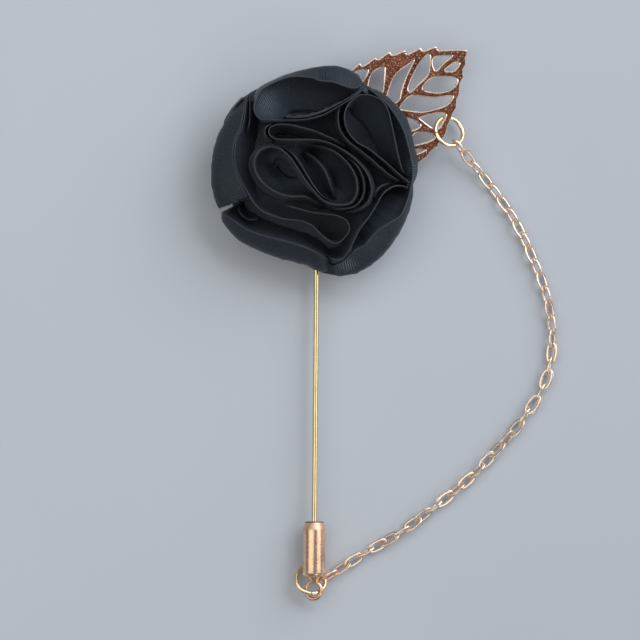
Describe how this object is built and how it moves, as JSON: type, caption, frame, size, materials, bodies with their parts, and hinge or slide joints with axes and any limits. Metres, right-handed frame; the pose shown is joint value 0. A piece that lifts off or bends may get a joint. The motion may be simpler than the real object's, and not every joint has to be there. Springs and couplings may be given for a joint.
{
  "type": "flower lapel pin",
  "caption": "Lapel stick pin with a dark satin ribbon rose, a pierced metal leaf, a slide-on cap and a cable chain from leaf to cap.",
  "frame": {"origin": "middle of the lower face of the round felt backing, on the surface that the pin lies on", "axes": "+Z out of the flower's face, +Y from the cap along the pin to the flower, +X towards the chain"},
  "size_m": [0.0694, 0.111, 0.0162],
  "materials": {
    "felt": "black felt",
    "base_cloth": "dark padded cloth",
    "satin": "ribbed satin ribbon",
    "pin_metal": "polished pale gold plate",
    "cap_metal": "rose gold plate",
    "leaf_metal": "rose gold plate on a cast grain",
    "ring_metal": "polished gold plate",
    "chain_metal": "polished gold plate"
  },
  "bodies": {
    "root": {"backing": "felt", "flower_base": "base_cloth", "stick_pin": "pin_metal", "cap": "cap_metal", "leaf": "leaf_metal", "leaf_ring": "ring_metal", "cap_ring": "ring_metal", "chain": "chain_metal", "heart_fold": "satin", "centre_fold": "satin", "ring_fold": "satin", "left_petal": "satin", "bottom_petal": "satin", "top_petal": "satin", "right_petal": "satin", "right_outer_petal": "satin", "low_right_petal": "satin", "low_right_outer_petal": "satin"}
  },
  "joints": []
}
